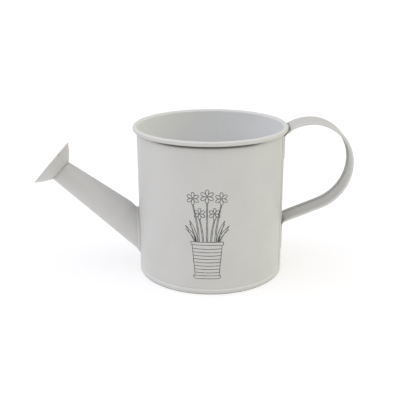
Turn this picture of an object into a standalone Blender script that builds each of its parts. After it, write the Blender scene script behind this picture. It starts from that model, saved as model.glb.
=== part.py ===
"""Small watering can of painted sheet metal: open can, tapered spout with a rose, strap handle.

Units are metres, +Z is up, the spout points along -X and the handle along +X. The can stands
on z = 0, and the origin is midway between the tip of the rose and the back of the handle.
Everything is modelled about the can's own upright axis, which stands CAN_X from the origin.
"""
from math import atan2, cos, pi, radians, sin, sqrt, tan

import bmesh
import bpy
from mathutils import Matrix, Vector

# Sheet metal
SHEET = 0.0006            # wall, base, spout and handle
ROSE_SHEET = 0.0005
GAP = 0.0003              # left between two pieces that touch

# Can
CAN_X = 0.0159            # the can's axis, from the middle of the overall length
HEIGHT = 0.1295
WALL_RADIUS = 0.0627      # outside of the wall
RIM_RADIUS = 0.0660       # outside of the rolled rim
CURL_RADIUS = 0.00205     # outside of the roll's own section
CURL_END = -110           # where the roll stops, in degrees about its own centre
CURL_BLEND = 0.0030       # height over which the wall runs into the roll
RIM_WIRE_RADIUS = 0.0011

# Hooked seam that holds the base
HEM_HEIGHT = 0.0032
HEM_PROUD = 0.0001        # how far the hem stands out from the wall
HEM_CORNER = 0.0012       # rounding of its lower edge
HEM_WIDTH = 0.0028
HEM_FOLD = 0.0028         # height of the inner leg
BASE_HEIGHT = 0.0034      # underside of the base disc
BASE_FLANGE_END = 0.0010

# Lap seam down the wall, just in front of the handle
LAP_PROUD = 0.00035
LAP_FROM = radians(-19.0)
LAP_TO = radians(-12.5)
LAP_BOTTOM = 0.0040
LAP_TOP = 0.1240

# Spout: a straight cone whose axis leaves the wall at SPOUT_HEIGHT
SPOUT_HEIGHT = 0.0351
SPOUT_SLOPE = radians(38.2)
SPOUT_TAPER = tan(radians(3.82))
SPOUT_ROOT_RADIUS = 0.0157
SPOUT_LENGTH = 0.0862     # from the wall to the neck
SPOUT_STUB = 0.0020       # tube that reaches on into the rose
SPOUT_JOGGLE = 0.00055    # step down in radius before the rose
SPOUT_DIP = 0.0013        # top of the tube, flattened where it nears the can
SPOUT_DIP_FROM = 0.0210
SPOUT_DIP_TO = 0.0140
SPOUT_BURIED = 0.0260     # length past the wall that is trimmed away
COLLAR_WIDTH = 0.0010     # across the tube, gap included
COLLAR_HEIGHT = 0.0021    # out from the wall

# Rose
ROSE_LENGTH = 0.0096
ROSE_RADIUS = 0.0225      # outside of the faceplate
ROSE_EDGE = 0.0217        # outside of the cone, inside the faceplate's skirt
ROSE_NECK_RADIUS = 0.0105
ROSE_NECK_UP = radians(6.0)   # the rose looks up a little more than the spout does
ROSE_TIP_UP = radians(3.3)
ROSE_SHIFT = 0.00075
ROSE_BULGE = 0.0010
PLATE_SKIRT = 0.0002
PLATE_DOME = 0.0005
PLATE_HOLE_RADIUS = 0.0009
PLATE_HOLE_RINGS = ((1, 0.0), (6, 0.0047), (12, 0.0094), (18, 0.0141))
PLATE_HOLE_TURN = radians(2.6)

# Handle: a strap with rolled edges, followed along its outer face from the lower tab
STRAP_WIDTH = 0.0250
STRAP_EDGE = 0.0024       # thickness of the rolled edges
STRAP_CORNER = 0.0030     # rounding of the tabs' corners
TAB_FOOT = 0.0205         # height of the lower tab's end
STRAP_RUN = (             # ("line", length) or ("bend", radius, degrees, left is positive)
    ("line", 0.0203),
    ("bend", 0.0050, -66.7),
    ("line", 0.0318),
    ("bend", 0.0419, 72.0),
    ("bend", 0.0367, 60.9),
    ("bend", 0.0339, 49.9),
    ("line", 0.0024),
    ("bend", 0.0040, 33.9),
    ("line", 0.0060),
    ("bend", 0.0040, 30.0),
    ("line", 0.0188),
)
BEND_STEP = 7.0           # degrees between sections of the strap
CAMBER_FADE = 0.0300      # the strap flattens over this length away from the can
EDGE_FADE = 0.0090        # the rolled edges come up over this length beyond a tab

# Facets
CAN_STEPS = 64
SPOUT_STEPS = 32
ROSE_STEPS = 40

PAINT = (0.62, 0.62, 0.595)
STEEL = (0.55, 0.55, 0.56)


def clear_scene():
    for old in list(bpy.data.objects):
        bpy.data.objects.remove(old, do_unlink=True)


def make_material(name, colour, roughness, metallic):
    material = bpy.data.materials.new(name)
    material.use_nodes = True
    shader = material.node_tree.nodes["Principled BSDF"]
    shader.inputs["Base Color"].default_value = (*colour, 1.0)
    shader.inputs["Roughness"].default_value = roughness
    shader.inputs["Metallic"].default_value = metallic
    return material


def add_object(name, mesh, colour=PAINT, roughness=0.42, metallic=0.0):
    """Put a mesh in the scene as a piece of the can, on the can's axis."""
    piece = bpy.data.objects.new(name, mesh)
    bpy.context.scene.collection.objects.link(piece)
    piece.parent = can_axis
    mesh.materials.append(make_material(name + "_finish", colour, roughness, metallic))
    mesh.shade_smooth()
    mesh.set_sharp_from_angle(angle=radians(35))
    return piece


def as_cutter(piece):
    piece.hide_render = True
    piece.display_type = "WIRE"
    return piece


def boolean(piece, operation, tool):
    modifier = piece.modifiers.new(operation.title(), "BOOLEAN")
    modifier.operation = operation
    modifier.object = as_cutter(tool)


def arc(centre, radius, start, end, steps):
    """Points on an arc from start to end, both in degrees."""
    angles = [radians(start + (end - start) * i / steps) for i in range(steps + 1)]
    return [(centre[0] + radius * cos(a), centre[1] + radius * sin(a)) for a in angles]


def turned(name, profile, steps, closed=True, **finish):
    """Turn a profile of (radius, height) points, which runs down its outer side, about Z."""
    mesh = bpy.data.meshes.new(name)
    edges = [(i, i + 1) for i in range(len(profile) - 1)]
    if closed:
        edges.append((len(profile) - 1, 0))
    mesh.from_pydata([(r, 0.0, z) for r, z in profile], edges, [])
    piece = add_object(name, mesh, **finish)
    screw = piece.modifiers.new("Turn", "SCREW")
    screw.axis = "Z"
    screw.angle = 2 * pi
    screw.steps = steps
    screw.render_steps = steps
    screw.use_merge_vertices = True
    screw.merge_threshold = 0.00001
    screw.use_smooth_shade = True
    return piece


def lofted(name, rings, loop=False, **finish):
    """Skin a row of equal rings. A loop joins the last ring to the first, else both are capped."""
    bm = bmesh.new()
    rows = [[bm.verts.new(point) for point in ring] for ring in rings]
    pairs = list(zip(rows, rows[1:]))
    if loop:
        pairs.append((rows[-1], rows[0]))
    else:
        bm.faces.new(rows[0])
        bm.faces.new(rows[-1])
    for low, high in pairs:
        for i in range(len(low)):
            j = (i + 1) % len(low)
            bm.faces.new((low[i], low[j], high[j], high[i]))
    bmesh.ops.recalc_face_normals(bm, faces=bm.faces)
    mesh = bpy.data.meshes.new(name)
    bm.to_mesh(mesh)
    bm.free()
    return add_object(name, mesh, **finish)


def ease(value, start, end):
    """0 at start, 1 at end, and smooth between."""
    share = min(1.0, max(0.0, (value - start) / (end - start)))
    return share * share * (3 - 2 * share)


# ---- Can ---------------------------------------------------------------------------------

def can_wall():
    """One sheet: hooked hem at the foot, plain wall, and a rim rolled outwards round a wire."""
    inside = WALL_RADIUS - SHEET
    curl = (RIM_RADIUS - CURL_RADIUS, HEIGHT - CURL_RADIUS)
    blend = curl[1] - CURL_BLEND
    hem = WALL_RADIUS + HEM_PROUD
    leg = hem - HEM_WIDTH
    corner = SHEET * 0.8
    profile = [(WALL_RADIUS, blend)]
    profile += [(WALL_RADIUS, HEM_HEIGHT + corner), (hem, HEM_HEIGHT)]
    profile += arc((hem - HEM_CORNER, HEM_CORNER), HEM_CORNER, 0, -90, 3)
    profile += [(leg + corner, 0.0), (leg, corner)]
    profile += [(leg, HEM_FOLD), (leg + SHEET, HEM_FOLD), (leg + SHEET, SHEET), (inside, SHEET)]
    profile += [(inside, blend)]
    profile += arc(curl, CURL_RADIUS, 180, CURL_END, 11)
    profile += arc(curl, CURL_RADIUS - SHEET, CURL_END, 180, 8)
    wall = turned("can_wall", profile, CAN_STEPS)

    lap = []
    for share in (0.0, 0.5, 1.0):
        angle = LAP_FROM + (LAP_TO - LAP_FROM) * share
        out = Vector((cos(angle), sin(angle), 0.0))
        low, high = WALL_RADIUS - SHEET / 2, WALL_RADIUS + LAP_PROUD
        corners = ((low, LAP_BOTTOM), (high, LAP_BOTTOM), (high, LAP_TOP), (low, LAP_TOP))
        lap.append([out * r + Vector((0.0, 0.0, z)) for r, z in corners])
    boolean(wall, "UNION", lofted("lap_tool", lap))

    boolean(wall, "DIFFERENCE", spout_solid("hole_tool", -SHEET - GAP, -SPOUT_BURIED, 0.016))
    return wall


def rim_wire():
    """The wire that stiffens the rolled rim."""
    centre = (RIM_RADIUS - CURL_RADIUS, HEIGHT - CURL_RADIUS)
    ring = arc(centre, RIM_WIRE_RADIUS, 180, -180, 8)[:-1]
    return turned("rim_wire", ring, CAN_STEPS, colour=STEEL, roughness=0.35, metallic=1.0)


def base_disc():
    """A disc set up inside the wall, with a flange that hangs in the hooked hem."""
    flange = WALL_RADIUS - SHEET - GAP
    top = BASE_HEIGHT + SHEET
    profile = [(0.0, top), (flange - SHEET, top), (flange, top - SHEET)]
    profile += [(flange, BASE_FLANGE_END), (flange - SHEET, BASE_FLANGE_END)]
    profile += [(flange - SHEET, BASE_HEIGHT - GAP), (flange - SHEET - GAP, BASE_HEIGHT)]
    profile += [(0.0, BASE_HEIGHT)]
    return turned("base_disc", profile, CAN_STEPS, closed=False)


# ---- Spout -------------------------------------------------------------------------------

def spout_frame(along, up=0.0, tip=0.0):
    """A matrix whose +Z runs up the spout, placed along the axis and shifted up across it."""
    slope = SPOUT_SLOPE + tip
    spin = Matrix.Rotation(slope - pi / 2, 4, "Y")
    axis = Vector((-cos(SPOUT_SLOPE), 0.0, sin(SPOUT_SLOPE)))
    across = Vector((sin(SPOUT_SLOPE), 0.0, cos(SPOUT_SLOPE)))
    root = Vector((-WALL_RADIUS, 0.0, SPOUT_HEIGHT))
    return Matrix.Translation(root + axis * along + across * up) @ spin


def ring_on(frame, radius, steps):
    angles = [2 * pi * i / steps for i in range(steps)]
    return [frame @ Vector((radius * cos(a), radius * sin(a), 0.0)) for a in angles]


def spout_ring(along, offset, tip=0.0):
    """A ring of the tube, offset outwards from its outer face. The dip lowers only its top."""
    dip = SPOUT_DIP * (1 - ease(along, SPOUT_DIP_TO, SPOUT_DIP_FROM)) / 2
    radius = SPOUT_ROOT_RADIUS - SPOUT_TAPER * along - dip
    return ring_on(spout_frame(along, up=-dip, tip=tip), radius + offset, SPOUT_STEPS)


def spout_stations(start, end):
    dips = [SPOUT_DIP_TO + (SPOUT_DIP_FROM - SPOUT_DIP_TO) * i / 3 for i in range(4)]
    return [start] + [place for place in dips if start < place < end] + [end]


def spout_solid(name, offset, start, end):
    """A solid length of the spout, for cutting and fitting its neighbours."""
    return lofted(name, [spout_ring(place, offset) for place in spout_stations(start, end)])


def wall_solid(name, inner, outer):
    """A cutter shaped like the can, solid when inner is zero."""
    top = HEIGHT / 2 + SPOUT_HEIGHT
    if inner:
        return turned(name, [(outer, top), (outer, 0.0), (inner, 0.0), (inner, top)], CAN_STEPS)
    return turned(name, [(0.0, top), (outer, top), (outer, 0.0), (0.0, 0.0)], CAN_STEPS, False)


def spout_tube():
    """The rolled cone, trimmed to the can's wall, with a joggled end that enters the rose."""
    neck = SPOUT_LENGTH
    shoulder = neck - GAP
    body = [place for place in spout_stations(-SPOUT_BURIED, shoulder) if place < shoulder]
    narrow = -SPOUT_JOGGLE - SHEET
    joggled = [(shoulder, 0.0), (neck, -SPOUT_JOGGLE), (neck + SPOUT_STUB, -SPOUT_JOGGLE),
               (neck + SPOUT_STUB, narrow), (shoulder - SHEET, narrow), (neck - 3 * SHEET, -SHEET)]
    rings = [spout_ring(place, 0.0) for place in body]
    rings += [spout_ring(place, offset, ROSE_NECK_UP) for place, offset in joggled]
    rings += [spout_ring(place, -SHEET) for place in body[::-1]]
    tube = lofted("spout_tube", rings, loop=True)
    boolean(tube, "DIFFERENCE", wall_solid("tube_trim_tool", 0.0, WALL_RADIUS + GAP))
    return tube


def spout_collar():
    """The saddle ring that joins the tube's root to the wall."""
    reach = SPOUT_DIP_FROM * 1.5
    collar = spout_solid("spout_collar", COLLAR_WIDTH, -SPOUT_BURIED, reach)
    foot = WALL_RADIUS + GAP
    boolean(collar, "INTERSECT", wall_solid("collar_band_tool", foot, foot + COLLAR_HEIGHT))
    boolean(collar, "DIFFERENCE",
            spout_solid("collar_bore_tool", GAP, -SPOUT_BURIED - SHEET, reach + SHEET))
    return collar


# ---- Rose --------------------------------------------------------------------------------

def rose_cone():
    """The flared funnel. Its neck and its mouth are each tipped up a little."""
    flare = atan2(ROSE_EDGE - ROSE_NECK_RADIUS, ROSE_LENGTH)
    steps = 5
    rings = []
    for side, inset in ((range(steps + 1), 0.0), (range(steps, -1, -1), ROSE_SHEET / cos(flare))):
        for i in side:
            share = i / steps
            tip = ROSE_NECK_UP + (ROSE_TIP_UP - ROSE_NECK_UP) * share
            frame = spout_frame(SPOUT_LENGTH + ROSE_LENGTH * share, ROSE_SHIFT * share, tip)
            radius = ROSE_NECK_RADIUS + (ROSE_EDGE - ROSE_NECK_RADIUS) * share
            rings.append(ring_on(frame, radius + ROSE_BULGE * sin(pi * share) - inset, ROSE_STEPS))
    return lofted("rose_cone", rings, loop=True)


def rose_faceplate():
    """A shallow domed plate with rings of holes and a short skirt round the funnel's edge."""
    skirt = ROSE_RADIUS - ROSE_SHEET
    face = GAP + ROSE_SHEET
    corner = 0.3 * ROSE_SHEET
    shares = (0.0, 0.3, 0.6, 0.85)
    dome = [(skirt * share, PLATE_DOME * (1 - share * share)) for share in shares]
    profile = [(r, face + z) for r, z in dome]
    profile += [(ROSE_RADIUS - corner, face), (ROSE_RADIUS, face - corner)]
    profile += [(ROSE_RADIUS, -PLATE_SKIRT), (skirt, -PLATE_SKIRT), (skirt, GAP)]
    profile += [(r, GAP + z) for r, z in dome[::-1]]
    frame = spout_frame(SPOUT_LENGTH + ROSE_LENGTH, ROSE_SHIFT, ROSE_TIP_UP)
    plate = turned("rose_faceplate", profile, ROSE_STEPS, closed=False)
    plate.matrix_local = frame

    bm = bmesh.new()
    for count, distance in PLATE_HOLE_RINGS:
        for i in range(count):
            turn = 2 * pi * i / count
            place = Matrix.Translation((distance * cos(turn), distance * sin(turn), face))
            bmesh.ops.create_cone(bm, cap_ends=True, segments=8, radius1=PLATE_HOLE_RADIUS,
                                  radius2=PLATE_HOLE_RADIUS, depth=0.010, matrix=place)
    mesh = bpy.data.meshes.new("hole_tools")
    bm.to_mesh(mesh)
    bm.free()
    drills = add_object("hole_tools", mesh)
    drills.matrix_local = frame @ Matrix.Rotation(PLATE_HOLE_TURN, 4, "Z")
    boolean(plate, "DIFFERENCE", drills)
    return plate


# ---- Handle ------------------------------------------------------------------------------

def strap_stations():
    """Places along the strap's outer face: (x, z, heading, distance from the start)."""
    x, z = WALL_RADIUS + GAP + SHEET, TAB_FOOT
    heading, travelled = pi / 2, 0.0
    stations = [(x, z, heading, travelled)]
    for kind, *size in STRAP_RUN:
        if kind == "line":
            steps = max(2, round(size[0] / 0.006))
            for _ in range(steps):
                x += cos(heading) * size[0] / steps
                z += sin(heading) * size[0] / steps
                travelled += size[0] / steps
                stations.append((x, z, heading, travelled))
            continue
        radius, turn = size[0], radians(size[1])
        side = 1 if turn > 0 else -1
        middle = (x - side * radius * sin(heading), z + side * radius * cos(heading))
        steps = max(3, round(abs(size[1]) / BEND_STEP))
        for _ in range(steps):
            heading += turn / steps
            x = middle[0] + side * radius * sin(heading)
            z = middle[1] - side * radius * cos(heading)
            travelled += radius * abs(turn) / steps
            stations.append((x, z, heading, travelled))
    return stations


def strap_section(half_width, edge):
    """Half of the strap's section as (across, inwards), from the outer face to the inner."""
    bead = edge / 2
    middle = half_width - bead
    points = [(half_width * 0.32, 0.0), (half_width * 0.64, 0.0)]
    points += [(middle + bead * cos(a), bead + bead * sin(a))
               for a in (radians(-90 + 36 * i) for i in range(6))]
    points += [(middle - 0.5 * bead, edge), (middle - 1.3 * bead, (edge + SHEET) / 2)]
    points += [(middle - 1.6 * bead, SHEET)]
    points += [(half_width * 0.55, SHEET), (half_width * 0.28, SHEET)]
    return points


def handle_strap():
    """The strap, bowed to the can's curve at both tabs and flat across its free part."""
    stations = strap_stations()
    total = stations[-1][3]
    tabs = (STRAP_RUN[0][1], total - STRAP_RUN[-1][1])
    wall = WALL_RADIUS + GAP
    rings = []
    corner_steps = [STRAP_CORNER * share for share in (0.0, 0.15, 0.5)]
    first, last = stations[0], stations[-1]
    foot = [(first[0], first[1] + d, first[2], d) for d in corner_steps]
    head = [(last[0], last[1] + d, last[2], total - d) for d in corner_steps]
    for x, z, heading, along in foot + stations[1:-1] + head[::-1]:
        to_end = min(along, total - along)
        half_width = STRAP_WIDTH / 2
        if to_end < STRAP_CORNER:
            rest = STRAP_CORNER - to_end
            half_width += sqrt(STRAP_CORNER ** 2 - rest ** 2) - STRAP_CORNER
        free = min(along - tabs[0], tabs[1] - along)
        camber = 1 - ease(free, 0.0, CAMBER_FADE)
        edge = SHEET + (STRAP_EDGE - SHEET) * ease(free, 0.0, EDGE_FADE)
        inwards = (-sin(heading), cos(heading))
        half = strap_section(half_width, edge)
        section = [(0.0, 0.0)] + half + [(0.0, SHEET)] + [(-a, n) for a, n in half[::-1]]
        ring = []
        for across, depth in section:
            bow = camber * (wall - sqrt(wall * wall - across * across))
            ring.append(Vector((x + inwards[0] * depth - bow, across, z + inwards[1] * depth)))
        rings.append(ring)
    return lofted("handle_strap", rings)


clear_scene()
can_axis = bpy.data.objects.new("can_axis", None)
can_axis.location = (CAN_X, 0.0, 0.0)
bpy.context.scene.collection.objects.link(can_axis)

can_wall()
rim_wire()
base_disc()
spout_tube()
spout_collar()
rose_cone()
rose_faceplate()
handle_strap()
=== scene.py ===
"""Looks of a small watering can of painted sheet metal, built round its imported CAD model.

Metres, +Z up. The spout points along -X and the handle along +X. Every piece is made about the
can's own upright axis and then put on it.
"""
from math import atan2, cos, degrees, exp, pi, radians, sin, sqrt, tan

import bmesh
import bpy
import numpy as np
from mathutils import Matrix, Vector, noise


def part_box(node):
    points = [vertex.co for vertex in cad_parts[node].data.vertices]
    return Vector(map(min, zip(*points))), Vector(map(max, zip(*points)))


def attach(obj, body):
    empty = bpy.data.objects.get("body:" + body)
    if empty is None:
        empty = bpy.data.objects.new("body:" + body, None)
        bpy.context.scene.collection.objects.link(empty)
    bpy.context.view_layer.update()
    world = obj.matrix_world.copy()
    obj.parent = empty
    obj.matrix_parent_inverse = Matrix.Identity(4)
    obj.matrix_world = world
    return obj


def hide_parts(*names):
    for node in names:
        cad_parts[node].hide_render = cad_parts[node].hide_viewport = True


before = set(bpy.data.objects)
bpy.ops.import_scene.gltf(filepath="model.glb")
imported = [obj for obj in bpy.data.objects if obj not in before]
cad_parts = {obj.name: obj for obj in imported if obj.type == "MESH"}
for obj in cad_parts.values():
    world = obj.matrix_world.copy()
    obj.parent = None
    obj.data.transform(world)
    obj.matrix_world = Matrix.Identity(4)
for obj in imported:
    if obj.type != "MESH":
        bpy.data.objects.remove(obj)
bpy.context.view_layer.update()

# ---- Sizes -------------------------------------------------------------------------------

SHEET = 0.0006
ROSE_SHEET = 0.0005
GAP = 0.0003                  # kept between two pieces that touch
SHARP = 35.0                  # edges that turn by more degrees than this are drawn sharp

wall_low, wall_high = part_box("can_wall")
CAN_X = (wall_low.x + wall_high.x) / 2
RIM_RADIUS = (wall_high.y - wall_low.y) / 2
HEIGHT = wall_high.z
WALL_RADIUS = 0.0627
WALL_INSIDE = WALL_RADIUS - SHEET
CURL_RADIUS = 0.00205
CURL_END = -110.0
CURL_BLEND = 0.0030
CURL = (RIM_RADIUS - CURL_RADIUS, HEIGHT - CURL_RADIUS)

HEM_PROUD = 0.0001
HEM_WIDTH = 0.0028
HEM_FOLD = 0.0028
HEM_CORNER = 0.0012           # rounding of the lower edge, outside
HEM_INNER = 0.00048
HEM_NICK = radians(-63.5)     # a small dent in the hem, seen from the front
NICK_DEPTH = 0.0006
NICK_WIDTH = 0.0010
HEM_PINCH = (                 # (height, depth) down the pressed groove above the hem
    (0.0068, 0.00002), (0.0061, 0.00009), (0.0055, 0.00020), (0.0051, 0.00028),
    (0.0048, 0.00030), (0.0046, 0.00028), (0.0044, 0.00020), (0.0042, 0.00008),
)
PLAIN_FROM = 0.0078           # the wall is plain from here up to the rim's roll
BASE_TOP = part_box("base_disc")[1].z
BASE_FLANGE_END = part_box("base_disc")[0].z

LAP_PROUD = 0.00035
LAP_FROM = -19.0              # in degrees round the can, from the handle
LAP_TO = -12.5
LAP_BOTTOM = 0.0040
LAP_TOP = 0.1235
LAP_EDGE = 0.15               # half the width of its crisp edge, in degrees
LAP_RUNOUT = 1.6              # width of its soft edge, in degrees
LAP_STEP = 0.0003             # it starts this sharply at its foot
LAP_FADE = 0.002              # and runs out over this much at its top

WOBBLE_BROAD = 0.00010        # unevenness of the rolled sheet, in broad waves
WOBBLE_ROLLED = 0.00003       # and in upright bands, as rollers leave it
WOBBLE_IN = (0.006, 0.022)    # it fades in between these heights
WOBBLE_OUT = (0.106, 0.121)   # and out between these
FLOOR_SAG = 0.00012           # of the bottom, between its middle and its edge
WALL_HOLE_RUN = (-0.026, 0.016)  # along the spout: where the hole's tool starts and ends

SPOUT_HEIGHT = 0.0351
SPOUT_SLOPE = radians(38.2)
SPOUT_TAPER = tan(radians(3.82))
SPOUT_ROOT_RADIUS = 0.0157
SPOUT_LENGTH = 0.0862
SPOUT_STUB = 0.0020           # the joggled end that the rose's neck sits on
SPOUT_JOGGLE = 0.00055
SPOUT_TIPPED = 0.0120         # over this last length the tube's rings tip to meet the rose
SPOUT_UNEVEN = 0.00005
SPOUT_DIP = 0.0013            # near its root the tube's top lies this much lower
SPOUT_DIP_FROM = 0.0210
SPOUT_DIP_TO = 0.0140
SPOUT_SEARCH = (-0.030, 0.050)   # along the spout: where any of its lines meets the wall
COLLAR_WIDTH = 0.0010
COLLAR_HEIGHT = 0.0021
COLLAR_SINK = 0.0004          # how far its foot reaches back towards the wall
COLLAR_BORE = 0.00004         # soldered close to the tube
COLLAR_UNEVEN = 0.04
COLLAR_ROUND = 0.5            # 1 would be a quarter of an ellipse, and less is squarer
SPOUT_FOOT = WALL_RADIUS + GAP
SEAM_RISE = 0.00022           # the tube's own lap seam, along its underside
SEAM_LINES = (0.1340, 0.1208)    # mesh lines at its crisp edge, in radians from underneath

ROSE_LENGTH = 0.0096
ROSE_RADIUS = 0.02244         # a little inside the CAD model's facets
ROSE_EDGE = 0.0217
ROSE_NECK_RADIUS = 0.0105
ROSE_NECK_UP = radians(6.0)
ROSE_TIP_UP = radians(3.3)
ROSE_SHIFT = 0.00075
ROSE_BULGE = 0.0010
ROSE_INSET = ROSE_SHEET / cos(atan2(ROSE_EDGE - ROSE_NECK_RADIUS, ROSE_LENGTH))
PLATE_SKIRT = 0.0002
PLATE_DOME = 0.0005
PLATE_HOLE_RADIUS = 0.0009
PLATE_HOLE_RINGS = ((1, 0.0), (6, 0.0047), (12, 0.0094), (18, 0.0141))
PLATE_HOLE_TURN = radians(2.6)
DRILL = (                     # (share of the hole's radius, height): bore, then countersink
    (0.0, -0.003), (1.0, -0.003), (1.0, -0.00022), (1.16, 0.0), (2.2, 0.0010), (0.0, 0.0010),
)

STRAP_WIDTH = 0.0250
STRAP_EDGE = 0.0024
STRAP_CORNER = 0.0030
STRAP_SETBACK = 0.00007       # keeps the smooth curve inside the CAD model's facets
STRAP_UNEVEN = 0.00008
STRAP_SHARP = 40.0
TAB_FOOT = 0.0205
TAB_FEATHER = 0.0016          # the tabs thin out over this much at their long edges
TAB_THIN = 0.75               # by this share of the sheet
TAB_PRESS = (0.00027, 0.00052)   # the lower and the upper tab are joined tight to the wall
STRAP_RUN = (                 # ("line", length) or ("bend", radius, degrees)
    ("line", 0.0203), ("bend", 0.0050, -66.7), ("line", 0.0318), ("bend", 0.0419, 72.0),
    ("bend", 0.0367, 60.9), ("bend", 0.0339, 49.9), ("line", 0.0024), ("bend", 0.0040, 33.9),
    ("line", 0.0060), ("bend", 0.0040, 30.0), ("line", 0.0188),
)
STRAP_TOTAL = sum(s[1] if s[0] == "line" else s[1] * abs(radians(s[2])) for s in STRAP_RUN)
TABS = (STRAP_RUN[0][1], STRAP_TOTAL - STRAP_RUN[-1][1])
CAMBER_FADE = 0.0300          # past a tab, over this much, the strap turns from bowed to flat
EDGE_FADE = 0.0090            # and over this much its edges roll up
WELD_PLACES = (0.0095, STRAP_TOTAL - 0.0080)     # along the strap, two marks at each
WELD_ASIDE = 0.0060
WELD_DEPTH = 0.00018

# How finely the round pieces are divided
WALL_STEPS = 288
FLOOR_STEPS = 144
SPOUT_STEPS = 128
COLLAR_STEPS = 160
PLATE_STEPS = 120
HOLE_STEPS = 24


# ---- Small helpers -----------------------------------------------------------------------

def ease(value, start, end):
    """0 at start, 1 at end, and smooth between."""
    share = min(1.0, max(0.0, (value - start) / (end - start)))
    return share * share * (3 - 2 * share)


def bump(distance, width):
    """1 at no distance, and a soft fall to 0 within about twice the width."""
    return exp(-(distance / width) ** 2)


def away(p):
    """How far a point is from the upright axis."""
    return sqrt(p.x * p.x + p.y * p.y)


def spread(start, end, count):
    """count + 1 even values from start to end."""
    return [start + (end - start) * i / count for i in range(count + 1)]


def arc(centre, radius, start, end, steps):
    """Points on an arc, angles in degrees."""
    return [(centre[0] + radius * cos(radians(a)), centre[1] + radius * sin(radians(a)))
            for a in spread(start, end, steps)]


def circle(steps, start=0.0):
    """Even angles once round."""
    return spread(start, start + 2 * pi, steps)[:-1]


def skin(bm, rows, wrap_rows=False):
    """Faces between closed rows of points. A row of one point closes into a fan."""
    made = [[bm.verts.new(p) for p in row] for row in rows]
    pairs = list(zip(made, made[1:])) + ([(made[-1], made[0])] if wrap_rows else [])
    for low, high in pairs:
        wide = max(len(low), len(high))
        for i in range(wide):
            j = (i + 1) % wide
            ring = [low[i % len(low)], low[j % len(low)], high[j % len(high)],
                    high[i % len(high)]]
            corners = list(dict.fromkeys(ring))
            if len(corners) > 2:
                bm.faces.new(corners)
    return made


def as_mesh(name, bm):
    """Close the bmesh into a mesh whose faces all look outwards."""
    bmesh.ops.recalc_face_normals(bm, faces=bm.faces)
    mesh = bpy.data.meshes.new(name)
    bm.to_mesh(mesh)
    bm.free()
    return mesh


def grid_mesh(name, rows, wrap_rows=False):
    """One skin through rows of points."""
    bm = bmesh.new()
    skin(bm, rows, wrap_rows)
    return as_mesh(name, bm)


def placed(name, data):
    """A new object in the scene."""
    item = bpy.data.objects.new(name, data)
    bpy.context.scene.collection.objects.link(item)
    return item


def smooth(mesh, sharp=SHARP):
    """Smooth shading, apart from the sharp edges."""
    mesh.shade_smooth()
    mesh.set_sharp_from_angle(angle=radians(sharp))


def as_piece(name, mesh, sharp=SHARP):
    """The mesh as an object in the scene, smoothly shaded."""
    smooth(mesh, sharp)
    return placed(name, mesh)


def cut(piece, tool):
    """Take the tool's solid out of the piece, and keep the result as its mesh."""
    modifier = piece.modifiers.new("Cut", "BOOLEAN")
    modifier.operation = "DIFFERENCE"
    modifier.solver = "EXACT"
    modifier.object = tool
    evaluated = piece.evaluated_get(bpy.context.evaluated_depsgraph_get())
    mesh = bpy.data.meshes.new_from_object(evaluated)
    piece.modifiers.clear()
    piece.data = mesh
    smooth(mesh)
    bpy.data.objects.remove(tool, do_unlink=True)


def settle(piece, fields, slot, *nodes):
    """Record how each point looks, put the piece on the can's axis and tie it to the frame.

    fields gives wear, dust and painted shade, and, where it matters, a painted highlight: paint
    made lighter where light catches an edge. Points within the middle of the wall's sheet are
    marked as inside, where the coat is lighter, partly as painted light for the light falling
    inside the can.
    """
    middle = WALL_RADIUS - SHEET / 2
    looks = [(*fields(v.co), 0.0)[:3] + (float(away(v.co) < middle),)
             for v in piece.data.vertices]
    values = np.array(looks, np.float32)
    for column, name in enumerate(("wear", "dust_and_shade", "painted_highlight", "inside")):
        layer = piece.data.attributes.new(name, "FLOAT", "POINT")
        layer.data.foreach_set("value", np.ascontiguousarray(values[:, column]))
    piece.data.transform(Matrix.Translation((CAN_X, 0.0, 0.0)))
    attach(piece, "root")
    if nodes:
        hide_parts(*nodes)


# ---- Can wall ----------------------------------------------------------------------------

def sheet_wobble(angle, height):
    """Slight unevenness of the rolled sheet, shared by both of its faces."""
    free = ease(height, *WOBBLE_IN) * (1 - ease(height, *WOBBLE_OUT))
    broad = noise.noise((cos(angle) * 1.7, sin(angle) * 1.7, height * 16 + 2.3))
    rolled = noise.noise((cos(angle) * 7.0, sin(angle) * 7.0, height * 3 + 8.1))
    return free * (WOBBLE_BROAD * broad + WOBBLE_ROLLED * rolled)


def lap_rise(angle, height):
    """The overlap of the wall's two ends: one crisp edge, and one that runs out softly."""
    turn = degrees(angle)
    band = ease(turn, LAP_FROM - LAP_EDGE, LAP_FROM + LAP_EDGE)
    band *= 1 - ease(turn, LAP_TO - LAP_RUNOUT, LAP_TO)
    tall = ease(height, LAP_BOTTOM - LAP_STEP, LAP_BOTTOM + LAP_STEP)
    tall *= 1 - ease(height, LAP_TOP - LAP_FADE, LAP_TOP)
    return LAP_PROUD * band * tall


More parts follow.
